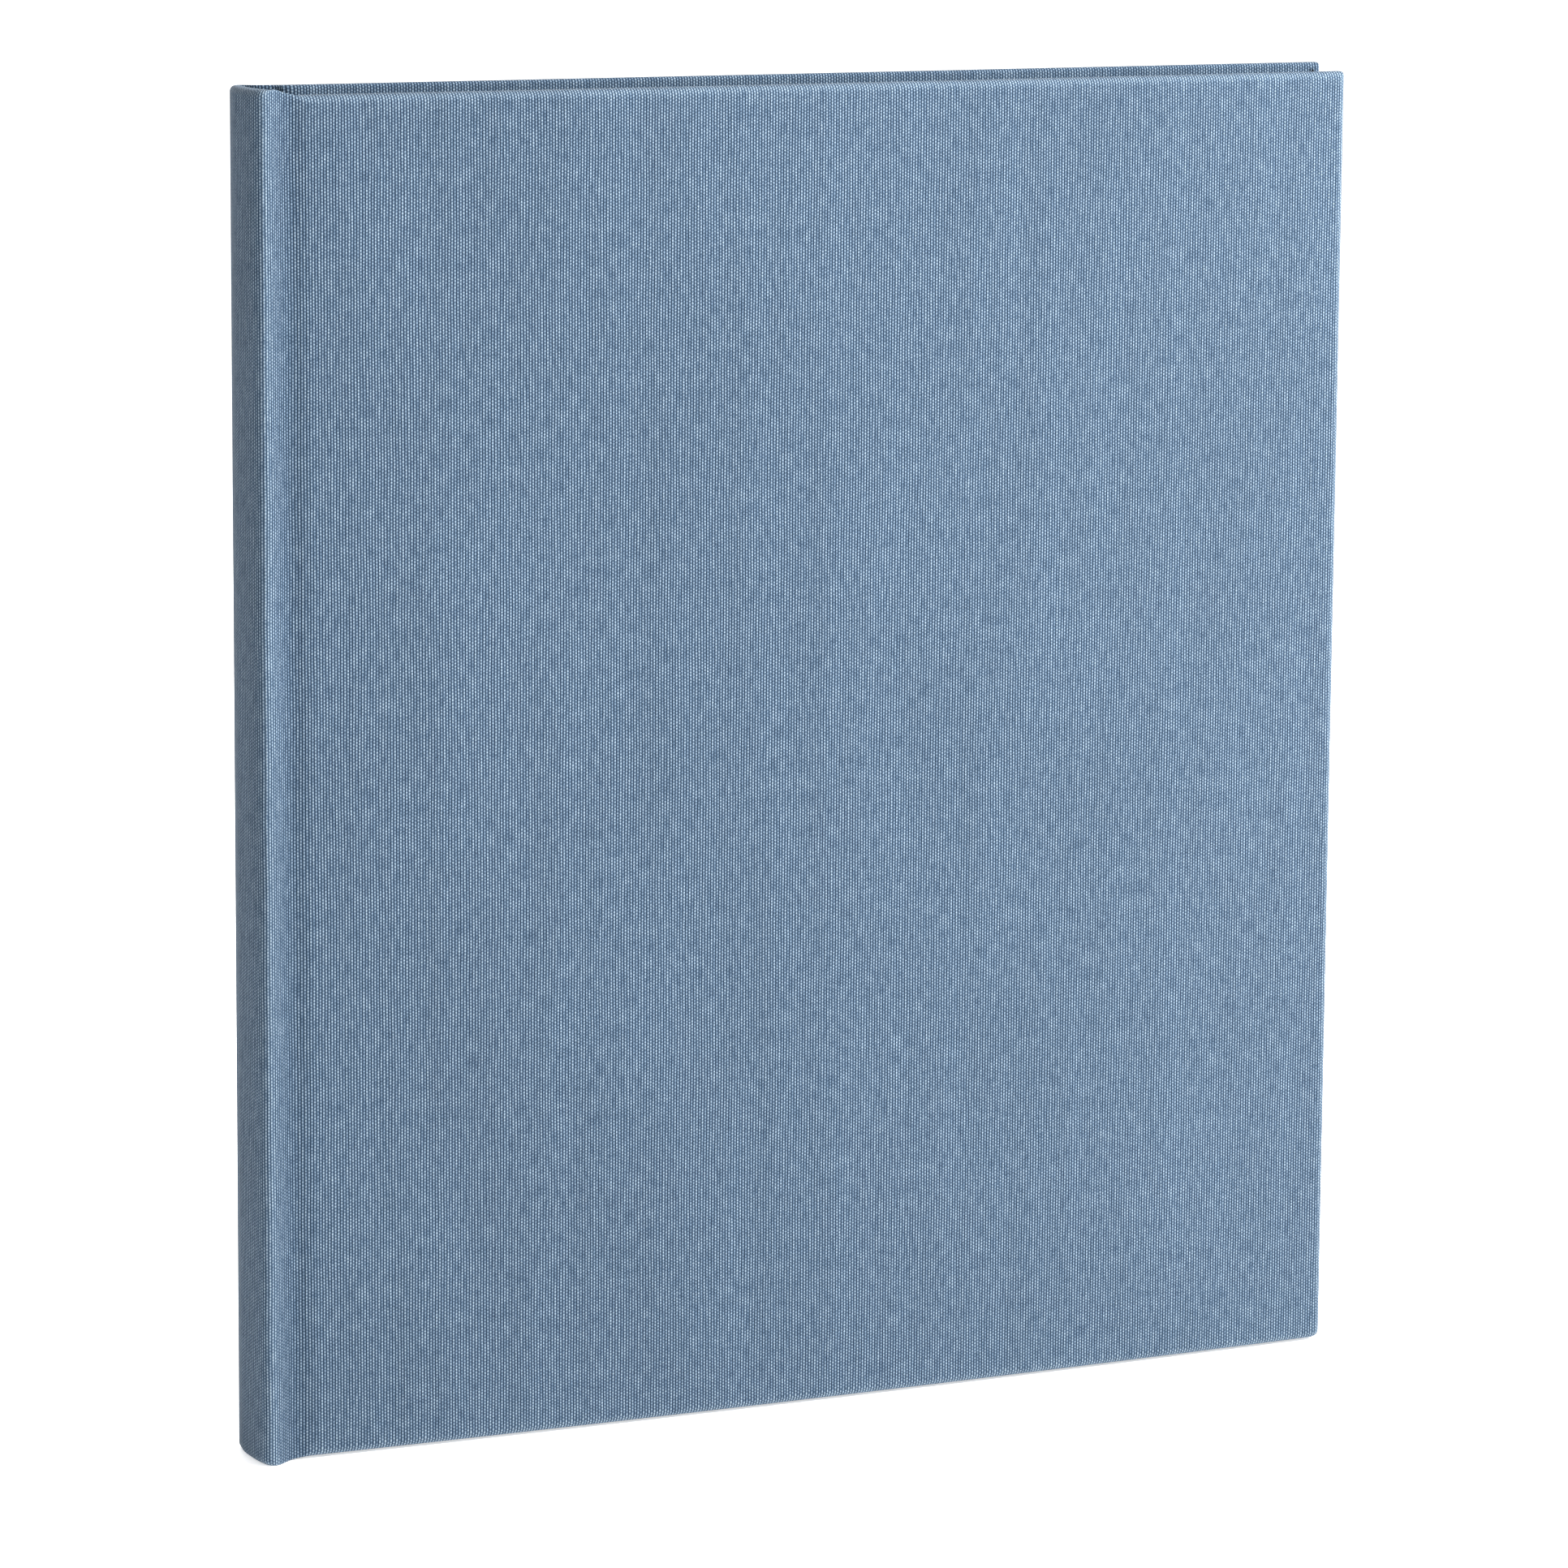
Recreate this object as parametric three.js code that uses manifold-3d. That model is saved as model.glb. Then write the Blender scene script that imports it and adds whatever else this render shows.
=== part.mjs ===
// A slim cloth-covered scrapbook album, case-bound, standing upright on its tail.
// Millimetres. +Z runs up the spine, +X from the spine to the fore-edge, and the
// front cover faces -Y. Pieces are laid out in plan coordinates, where x starts at
// the spine and y at the front cover, and the whole group is centred at the end.
import * as THREE from 'three';
import Module from 'manifold-3d';
import { mergeVertices } from 'three/addons/utils/BufferGeometryUtils.js';

// Driving dimensions of the case
const HEIGHT = 300; // front cover, head to tail
const BACK_EXTRA = 1.5; // the back cover was cut this much taller
const SPINE_EXTRA = 0.7; // and the spine half of that
const FORE_EDGE = 269.3; // the covers' outer edge in x
const THICKNESS = 16; // outer face to outer face
const FRONT_BOW = 2.1; // the front cover is crowned outwards
const BACK_BOW = 0.8; // the back cover bends the same way, towards the leaves
const BOW_FACETS = 9;

// Layers of a cover, from its outer face inwards
const CLOTH = 0.4;
const BOARD = 2.8;
const GLUE = 0.1;
const TURN_IN = 15; // how far the cloth is folded over onto the inside
const PASTEDOWN = 0.25;
const BOARD_IN = CLOTH + GLUE; // depth at which the board starts
const BOARD_OUT = BOARD_IN + BOARD;
const FOLD_IN = BOARD_OUT + GLUE; // depth at which the folded-over cloth starts
const FOLD_OUT = FOLD_IN + CLOTH;
const PASTE_IN = FOLD_OUT + GLUE;
const PASTE_OUT = PASTE_IN + PASTEDOWN;

// The joint, a groove between the spine's ridge and the board
const BOARD_START = 10.6;
const HINGE_X = 8.3; // where the groove is deepest, and the cloth is parted
const HINGE_DEPTH = 1;
const HINGE_GAP = 0.3;

// The spine
const INLAY = 1.7; // thickness of the card strip in the spine
const SPINE_BULGE = 0.55;
const RIDGE = 1.1; // the ridges stand this proud of the covers' faces
const SPINE_FACETS = 7;

// The block of leaves
const SQUARE = 4; // the covers stand this far past the leaves
const LEAVES = 12;
const LEAF = 0.28;
const GUARD = 0.38;
const PITCH = 0.46; // from leaf to leaf
const FIRST_LEAF_Y = 5.15;
const ROOT_X = 10.8; // where the first and the last leaf bend
const STAGGER = 0.6; // each leaf nearer the middle bends this much further out
const LEAF_GAP = 0.3; // between a guard and its leaf
const FLYLEAF = 0.2;
const FLYLEAF_X = 10.2;
const FLYLEAF_OFFSET = 0.5; // from the flyleaf to the leaf beside it
const BLOCK_X = 5.55; // the guards' folded edge
const TAPE = 0.2;
const TAPE_WIDTH = 12;
const TAPE_HEIGHTS = [60, 150, 240];
const MULL = 0.2;
const MULL_MARGIN = 15;
const MULL_REACH = 9.6; // its cheeks end here, under the flyleaves
const LINING = 0.25;
const HEADBAND_RADIUS = 0.9;

const MIDDLE_Y = THICKNESS / 2;
const LAST_LEAF_Y = FIRST_LEAF_Y + (LEAVES - 1) * PITCH;
const LEAF_END = FORE_EDGE - SQUARE;
const LEAF_TOP = HEIGHT - SQUARE;

const wasm = await Module();
wasm.setup();

// A closed three.js geometry as a manifold solid, and back.
function solidOf(geometry) {
  const bare = geometry.clone();
  bare.deleteAttribute('normal');
  bare.deleteAttribute('uv');
  const merged = mergeVertices(bare, 1e-5);
  return new wasm.Manifold(new wasm.Mesh({
    numProp: 3,
    vertProperties: new Float32Array(merged.attributes.position.array),
    triVerts: new Uint32Array(merged.index.array),
  }));
}

function geometryOf(solid) {
  const mesh = solid.getMesh();
  const geometry = new THREE.BufferGeometry();
  geometry.setAttribute('position', new THREE.BufferAttribute(mesh.vertProperties, 3));
  geometry.setIndex(new THREE.BufferAttribute(mesh.triVerts, 1));
  geometry.computeVertexNormals();
  return geometry;
}

// An upright prism over a plan outline, from one height to another.
function prism(outline, low, high) {
  const shape = new THREE.Shape(outline.map(([x, y]) => new THREE.Vector2(x, y)));
  const geometry = new THREE.ExtrudeGeometry(shape, { depth: high - low, bevelEnabled: false });
  return geometry.translate(0, 0, low);
}

function box(xs, ys, zs) {
  return prism([[xs[0], ys[0]], [xs[1], ys[0]], [xs[1], ys[1]], [xs[0], ys[1]]], zs[0], zs[1]);
}

// The bow of a cover, 0 at both edges and 1 at the middle, in straight facets.
const BOW_STATIONS = Array.from({ length: BOW_FACETS + 1 },
  (_, i) => BOARD_START + (FORE_EDGE - BOARD_START) * i / BOW_FACETS);

function archOf(x) {
  const s = (x - BOARD_START) / (FORE_EDGE - BOARD_START);
  return 4 * s * (1 - s);
}

function archAt(x) {
  const wide = (FORE_EDGE - BOARD_START) / BOW_FACETS;
  const i = THREE.MathUtils.clamp(Math.floor((x - BOARD_START) / wide), 0, BOW_FACETS - 1);
  const [a, b] = [BOW_STATIONS[i], BOW_STATIONS[i + 1]];
  return THREE.MathUtils.mapLinear(x, a, b, archOf(a), archOf(b));
}

// The two covers: where a depth below the outer face lies in y, and how tall each is.
const FRONT = {
  name: 'front',
  height: HEIGHT,
  y: (x, depth) => depth - FRONT_BOW * archAt(x),
  flip: y => y,
};
const BACK = {
  name: 'back',
  height: HEIGHT + BACK_EXTRA,
  y: (x, depth) => THICKNESS - depth - BACK_BOW * archAt(x),
  flip: y => THICKNESS - y,
};

// The plan outline of one layer of a cover, between two depths and two edges.
function layer(cover, depths, edges) {
  const between = BOW_STATIONS.filter(x => x > edges[0] + 1 && x < edges[1] - 1);
  const xs = [edges[0], ...between, edges[1]];
  const outer = xs.map(x => [x, cover.y(x, depths[0])]);
  const inner = xs.map(x => [x, cover.y(x, depths[1])]);
  return [...outer, ...inner.reverse()];
}

function coverBoard(cover) {
  const outline = layer(cover, [BOARD_IN, BOARD_OUT], [BOARD_START, FORE_EDGE - BOARD_IN]);
  return prism(outline, BOARD_IN, cover.height - BOARD_IN);
}

// The cloth of one cover: the outer sheet, folded over the board's three outer
// edges, and the strip that crosses half of the joint.
function coverCloth(cover) {
  const lap = 1;
  const whole = solidOf(prism(layer(cover, [0, FOLD_OUT], [BOARD_START, FORE_EDGE]),
    0, cover.height));
  const slot = solidOf(prism(layer(cover, [CLOTH, FOLD_IN], [BOARD_START - lap, FORE_EDGE - CLOTH]),
    CLOTH, cover.height - CLOTH));
  const window = solidOf(prism(
    layer(cover, [FOLD_IN - lap, FOLD_OUT + lap], [BOARD_START - lap, FORE_EDGE - TURN_IN]),
    TURN_IN, cover.height - TURN_IN));
  const edge = HINGE_X + HINGE_GAP / 2;
  const strip = [[edge, HINGE_DEPTH], [BOARD_START - CLOTH, 0], [BOARD_START + lap, 0],
    [BOARD_START + lap, CLOTH], [BOARD_START - CLOTH / 2, CLOTH], [edge, HINGE_DEPTH + CLOTH]];
  const placed = strip.map(([x, y]) => [x, cover.flip(y)]);
  const joint = solidOf(prism(placed, 0, cover.height));
  return geometryOf(whole.subtract(slot).subtract(window).add(joint));
}

function pastedown(cover) {
  const outline = layer(cover, [PASTE_IN, PASTE_OUT], [BOARD_START, FORE_EDGE - SQUARE]);
  return prism(outline, SQUARE, cover.height - SQUARE);
}

// The spine's outer line in plan, from the front groove round to the back one.
function spineLine() {
  const ridge = [[HINGE_X - HINGE_GAP / 2, HINGE_DEPTH], [6.6, 0.6], [4.9, -0.2],
    [3.6, 0.35 - RIDGE], [2.6, 0.05 - RIDGE], [0.7, -RIDGE], [0.15, 0.3 - RIDGE], [0, 0.9 - RIDGE]];
  const back = Array.from({ length: SPINE_FACETS + 1 }, (_, i) => {
    const t = 2 * i / SPINE_FACETS - 1;
    return [-SPINE_BULGE * (1 - t * t), MIDDLE_Y * (1 + t)];
  });
  const mirrored = ridge.map(([x, y]) => [x, THICKNESS - y]).reverse();
  return [...ridge, ...back, ...mirrored];
}

// A line moved inwards, towards the leaves, by the same distance everywhere.
function inset(line, distance) {
  const side = line.slice(1).map(([x, y], i) => {
    const along = new THREE.Vector2(x - line[i][0], y - line[i][1]).normalize();
    return new THREE.Vector2(along.y, -along.x);
  });
  return line.map(([x, y], i) => {
    const a = side[Math.max(0, i - 1)];
    const b = side[Math.min(side.length - 1, i)];
    const mitre = a.clone().add(b).multiplyScalar(distance / (1 + a.dot(b)));
    return [x + mitre.x, y + mitre.y];
  });
}

function ribbon(line, near, far) {
  return [...inset(line, near), ...inset(line, far).reverse()];
}

// The flat middle of the spine, where the card strip lies.
function inlayLine() {
  const reach = (RIDGE - CLOTH) / 2;
  const flat = spineLine().filter(([x, y]) => x < 0.05 && y >= 0 && y <= THICKNESS);
  return [[0, -reach], ...flat, [0, THICKNESS + reach]];
}

function spineInlay() {
  return prism(ribbon(inlayLine(), BOARD_IN, BOARD_IN + INLAY),
    BOARD_IN, HEIGHT + SPINE_EXTRA - BOARD_IN);
}

// The cloth of the spine, folded over the card strip at the head and the tail.
function spineCloth() {
  const top = HEIGHT + SPINE_EXTRA;
  const slotEnd = BOARD_IN + INLAY + GLUE;
  const outer = solidOf(prism(ribbon(spineLine(), 0, CLOTH), 0, top));
  const flat = inlayLine().slice(1, -1);
  const turned = solidOf(prism(ribbon(flat, CLOTH / 2, slotEnd + CLOTH), 0, top));
  const slot = solidOf(prism(ribbon(inlayLine(), CLOTH, slotEnd), CLOTH, top - CLOTH));
  const window = solidOf(prism(ribbon(inlayLine(), CLOTH + GLUE, slotEnd + 1), TURN_IN, top - TURN_IN));
  return geometryOf(turned.subtract(slot).subtract(window).add(outer));
}

function mull() {
  const low = FIRST_LEAF_Y - FLYLEAF_OFFSET - MULL / 2;
  const high = LAST_LEAF_Y + FLYLEAF_OFFSET + MULL / 2;
  const x = BLOCK_X - 3 * MULL;
  const outline = [[x, low], [MULL_REACH, low], [MULL_REACH, low + MULL], [x + MULL, low + MULL],
    [x + MULL, high - MULL], [MULL_REACH, high - MULL], [MULL_REACH, high], [x, high]];
  return prism(outline, MULL_MARGIN, HEIGHT - MULL_MARGIN);
}

function spineLining() {
  const x = BLOCK_X - 3 * MULL - GLUE - LINING;
  return box([x, x + LINING], [FIRST_LEAF_Y - 0.7, LAST_LEAF_Y + 0.7],
    [SQUARE + 2, LEAF_TOP - 2]);
}

function sewingTape(height) {
  const x = BLOCK_X - GLUE - TAPE;
  return box([x, x + TAPE], [FIRST_LEAF_Y - 0.3, LAST_LEAF_Y + 0.3],
    [height - TAPE_WIDTH / 2, height + TAPE_WIDTH / 2]);
}

// A round silk bead laid across the head or the tail of the block.
function headband(z) {
  const length = LAST_LEAF_Y - FIRST_LEAF_Y + 0.8;
  return new THREE.CylinderGeometry(HEADBAND_RADIUS, HEADBAND_RADIUS, length, 12)
    .translate(BLOCK_X + HEADBAND_RADIUS, (FIRST_LEAF_Y + LAST_LEAF_Y) / 2, z);
}

// Leaf number i from the front, counted from 0: where it bends and where it lies.
function leafPlace(i) {
  const fromOutside = Math.min(i, LEAVES - 1 - i);
  return { x: ROOT_X + STAGGER * fromOutside, y: FIRST_LEAF_Y + PITCH * i };
}

function leaf(i) {
  const { x, y } = leafPlace(i);
  return box([x, LEAF_END], [y - LEAF / 2, y + LEAF / 2], [SQUARE, LEAF_TOP]);
}

function guard(i) {
  const { x, y } = leafPlace(i);
  return box([BLOCK_X, x - LEAF_GAP], [y - GUARD / 2, y + GUARD / 2], [SQUARE, LEAF_TOP]);
}

function flyleaf(y) {
  return box([FLYLEAF_X, LEAF_END], [y - FLYLEAF / 2, y + FLYLEAF / 2], [SQUARE, LEAF_TOP]);
}

const BLUE_CLOTH = { color: 0x7288a1, roughness: 0.9, metalness: 0 };
const GREY_BOARD = { color: 0x8d8577, roughness: 0.95, metalness: 0 };
const ENDPAPER = { color: 0xe9e2d2, roughness: 0.9, metalness: 0 };
const CARD = { color: 0xf1ead9, roughness: 0.92, metalness: 0 };
const LINEN = { color: 0xd9cfb8, roughness: 0.95, metalness: 0 };
const KRAFT = { color: 0xa9845a, roughness: 0.95, metalness: 0 };
const SILK = { color: 0x5d7591, roughness: 0.6, metalness: 0 };

const album = new THREE.Group();
album.name = 'scrapbook_album';

function add(name, geometry, finish) {
  const mesh = new THREE.Mesh(geometry, new THREE.MeshStandardMaterial(finish));
  mesh.name = name;
  album.add(mesh);
}

for (const cover of [FRONT, BACK]) {
  add(`${cover.name}_board`, coverBoard(cover), GREY_BOARD);
  add(`${cover.name}_cover_cloth`, coverCloth(cover), BLUE_CLOTH);
  add(`${cover.name}_pastedown`, pastedown(cover), ENDPAPER);
}
add('spine_inlay', spineInlay(), GREY_BOARD);
add('spine_cloth', spineCloth(), BLUE_CLOTH);
add('mull', mull(), LINEN);
add('spine_lining', spineLining(), KRAFT);
TAPE_HEIGHTS.forEach((height, i) => add(`sewing_tape_${i + 1}`, sewingTape(height), LINEN));
add('headband_tail', headband(SQUARE - GLUE - HEADBAND_RADIUS), SILK);
add('headband_head', headband(LEAF_TOP + GLUE + HEADBAND_RADIUS), SILK);
add('front_flyleaf', flyleaf(FIRST_LEAF_Y - FLYLEAF_OFFSET), ENDPAPER);
add('back_flyleaf', flyleaf(LAST_LEAF_Y + FLYLEAF_OFFSET), ENDPAPER);
for (let i = 0; i < LEAVES; i += 1) {
  const number = String(i + 1).padStart(2, '0');
  add(`guard_${number}`, guard(i), LINEN);
  add(`leaf_${number}`, leaf(i), CARD);
}

// The origin is the middle of the album's footprint, on the surface it stands on.
const bounds = new THREE.Box3().setFromObject(album);
const centre = bounds.getCenter(new THREE.Vector3());
album.position.set(-centre.x, -centre.y, 0);

export default album;
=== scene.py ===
"""A slim cloth-covered scrapbook album standing on its tail.

Lengths are in millimetres in plan coordinates: x runs from the spine to the fore-edge,
y from the front cover's outer face to the back one's with both taken as flat, and z up
from the tail. plan() turns them into metres in the row frame.
"""
import math

import bmesh
import bpy
import numpy as np
from mathutils import Matrix, Vector, noise


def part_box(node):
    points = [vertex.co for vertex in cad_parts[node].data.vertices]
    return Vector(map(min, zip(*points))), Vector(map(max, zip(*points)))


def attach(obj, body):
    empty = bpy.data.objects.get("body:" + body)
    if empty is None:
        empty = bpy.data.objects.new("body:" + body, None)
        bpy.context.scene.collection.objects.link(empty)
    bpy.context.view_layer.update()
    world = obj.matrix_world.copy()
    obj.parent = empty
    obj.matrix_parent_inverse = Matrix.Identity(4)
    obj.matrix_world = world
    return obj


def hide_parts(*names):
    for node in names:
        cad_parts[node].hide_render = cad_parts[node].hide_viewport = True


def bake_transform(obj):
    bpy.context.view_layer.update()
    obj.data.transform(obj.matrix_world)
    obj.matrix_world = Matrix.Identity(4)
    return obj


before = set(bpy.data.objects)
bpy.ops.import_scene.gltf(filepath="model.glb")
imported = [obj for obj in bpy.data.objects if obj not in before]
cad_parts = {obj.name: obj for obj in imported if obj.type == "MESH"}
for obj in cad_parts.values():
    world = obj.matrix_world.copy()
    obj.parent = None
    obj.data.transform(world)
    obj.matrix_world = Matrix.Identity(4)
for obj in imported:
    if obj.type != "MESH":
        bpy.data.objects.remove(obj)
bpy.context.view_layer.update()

MM = 0.001

# The case, as the CAD has it
FORE_EDGE = 269.3
THICKNESS = 16.0
HEIGHTS = {"front": 300.0, "back": 301.5}
BOWS = {"front": 2.1, "back": 0.8}
BOARD_START = 10.6
TURN_IN = 15.0
CLOTH = 0.4
COVER_DEPTH = 3.85  # outer face to the inside of the folded-over cloth
PASTEDOWN = (3.9, 4.15)  # outer face to the two faces of the paper pasted in
SQUARE = 4.0  # how far the covers stand out past the leaves
BOARD_INSET = 0.5  # a board's fore-edge, head and tail lie this far inside the cloth's

# Where the finished case leaves the CAD's: lifted covers, and a thinner, rounded board core
SPINE_HEIGHT = 301.5  # the spine stands as tall as the back cover
LIFT = 0.5  # the covers hang this much above the tail of the spine
BOARD_DEPTH = 1.9  # outer face to the middle of the board core
BOARD_CORE = 2.75

# The block of leaves
LEAVES = 12
PITCH = 0.46
LEAF = 0.28
ENDPAPER = 0.2
FIRST_LEAF_Y = 5.15
LAST_LEAF_Y = FIRST_LEAF_Y + PITCH * (LEAVES - 1)
FLYLEAF_GAP = 0.5  # from the outermost leaf to the flyleaf beside it
FLYLEAF_X = 10.1
ROOT_X = 10.8  # root of an outermost leaf; each leaf further in starts STAGGER later
STAGGER = 0.6
LEAF_END = FORE_EDGE - SQUARE
BLOCK_X = 5.55
MULL_CHEEK_X = 9.6
MULL = 0.2

# Edges of the cloth-covered boards
ARRIS = 2.1  # radius of the outer arris
INNER_ARRIS = 0.9  # radius of the edge where the cloth turns to the inside
TAIL_CORNER = 1.9  # radius of a cover's corner seen from the front
HEAD_CORNER = 0.8
MITRE_STEPS = [4.0, 7.0, 11.0, TURN_IN, 20.0, 27.0]  # distances from an edge that get a mesh row

FRONT_LINE = [  # outer face, inner face, from the middle of the spine to the board
    ((-1.45, 8.00), (2.30, 8.00)),
    ((-1.46, 5.60), (2.32, 5.60)),
    ((-1.38, 3.30), (2.36, 3.50)),
    ((-1.18, 1.40), (2.44, 2.10)),
    ((-0.86, -0.10), (2.52, 1.20)),
    ((-0.38, -1.18), (2.58, 0.56)),
    ((0.28, -1.80), (2.68, 0.10)),
    ((1.10, -1.98), (2.82, -0.28)),
    ((2.10, -1.74), (3.15, -0.52)),
    ((3.10, -1.30), (3.75, -0.16)),
    ((4.20, -0.58), (4.50, 0.50)),
    ((5.40, 0.14), (5.40, 1.14)),
    ((6.60, 0.60), (6.60, 1.60)),
    ((7.80, 0.78), (8.00, 1.86)),
    ((9.00, 0.62), (9.35, 2.20)),
    ((10.10, 0.32), (10.10, 2.90)),
    ((11.70, 0.00), (10.95, 3.78)),
]

BACK_LINE = [  # the same for the back half, mirrored; it slopes away sooner than the front half
    ((-1.45, 8.00), (2.30, 8.00)),
    ((-1.40, 6.60), (2.32, 6.60)),
    ((-1.20, 5.00), (2.36, 5.00)),
    ((-0.86, 3.60), (2.44, 3.70)),
    ((-0.48, 2.20), (2.52, 2.40)),
    ((-0.10, 0.80), (2.58, 1.30)),
    ((0.26, -0.50), (2.66, 0.40)),
    ((0.78, -1.36), (2.78, -0.10)),
    ((1.60, -1.60), (2.96, -0.40)),
    ((2.40, -1.45), (3.22, -0.42)),
    *FRONT_LINE[9:],
]

# The pasted hinge paper across a joint, inside the cloth
HINGE_STRIP = [(4.3, 0.72), (5.3, 1.36), (6.6, 1.84), (8.0, 2.10), (9.2, 2.42), (9.8, 2.95),
               (10.1, 3.55), (10.6, 3.92), (11.4, 4.03)]

# Cloth: spacing of its ribs and of the swells along a rib, in metres, and its lightness
RIB = 0.00068
SWELL = 0.00071
CLOTH_SHADE = 0.385

# Camera: yaw, pitch and roll in degrees, and its place in plan
CAMERA_TURN = (26.089, 9.503, 0.389)
CAMERA_PLACE = (-521.3, -1322.0, 390.1)
CAMERA_LENS = 152.31

# Light: the sky's own level, how much brighter it is on its bright side, and the two lamps
SKY = 0.48
SKY_SIDE = 0.75
BRIGHT_SIDE = (0.80, -0.42, 0.42)
BACKDROP = 1.2  # the sky as the camera sees it
FLOOR_GLOW = 0.55  # the floor is lit from below too, as on a light table
KEY_PLACE = (0.62, -0.62, 0.85)
KEY_POWER = 30
BACK_PLACE = (0.35, 1.25, 0.90)
BACK_POWER = 13
LAMP_AIM = (0.0, 0.0, 0.16)

# Where plan's origin lies in the row frame, from two of the CAD's boxes
RIDGE_RISE = 1.1  # how far the CAD's spine cloth rises past the front cover's face
PLAN_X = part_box("front_board")[1].x - (FORE_EDGE - BOARD_INSET) * MM
PLAN_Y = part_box("spine_cloth")[0].y + RIDGE_RISE * MM


def plan(x, y, z=0.0):
    return Vector((PLAN_X + x * MM, PLAN_Y + y * MM, z * MM))


# ---------------------------------------------------------------- materials

def node(tree, kind, inputs=None, **settings):
    made = tree.nodes.new("ShaderNode" + kind)
    for key, value in settings.items():
        setattr(made, key, value)
    for key, value in (inputs or {}).items():
        socket = made.inputs[key]
        if isinstance(value, bpy.types.NodeSocket):
            tree.links.new(value, socket)
        else:
            socket.default_value = value
    return made


def calc(tree, operation, *values, clamp=False):
    made = tree.nodes.new("ShaderNodeMath")
    made.operation = operation
    made.use_clamp = clamp
    for socket, value in zip(made.inputs, values):
        if isinstance(value, bpy.types.NodeSocket):
            tree.links.new(value, socket)
        else:
            socket.default_value = value
    return made.outputs[0]


def blank(name, roughness, sheen=0.0):
    material = bpy.data.materials.new(name)
    material.use_nodes = True
    tree = material.node_tree
    shader = next(n for n in tree.nodes if n.type == "BSDF_PRINCIPLED")
    shader.inputs["Roughness"].default_value = roughness
    shader.inputs["Sheen Weight"].default_value = sheen
    shader.inputs["Specular IOR Level"].default_value = 0.3
    return material, tree, shader


def ramp(tree, factor, stops):
    made = node(tree, "ValToRGB", {"Fac": factor})
    while len(made.color_ramp.elements) < len(stops):
        made.color_ramp.elements.new(0.5)
    for element, (place, colour) in zip(made.color_ramp.elements, stops):
        element.position = place
        element.color = (*colour, 1)
    return made.outputs["Color"]


def stretched_noise(tree, u, v, per_u, per_v, detail=2.0, roughness=0.5):
    """Noise over a surface, with its own number of cells per metre each way."""
    vector = node(tree, "CombineXYZ", {
        "X": calc(tree, "MULTIPLY", u, per_u), "Y": calc(tree, "MULTIPLY", v, per_v)})
    made = node(tree, "TexNoise", {
        "Vector": vector.outputs[0], "Scale": 1.0, "Detail": detail, "Roughness": roughness})
    return made.outputs["Fac"]


def surface_axes(tree, axes=None):
    """The two coordinates along a surface, in metres: its weave map, or two object axes."""
    if axes is None:
        source = node(tree, "UVMap", uv_map="weave").outputs["UV"]
        axes = "XY"
    else:
        source = node(tree, "TexCoord").outputs["Object"]
    split = node(tree, "SeparateXYZ", {"Vector": source})
    return [split.outputs[a] for a in axes]


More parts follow.
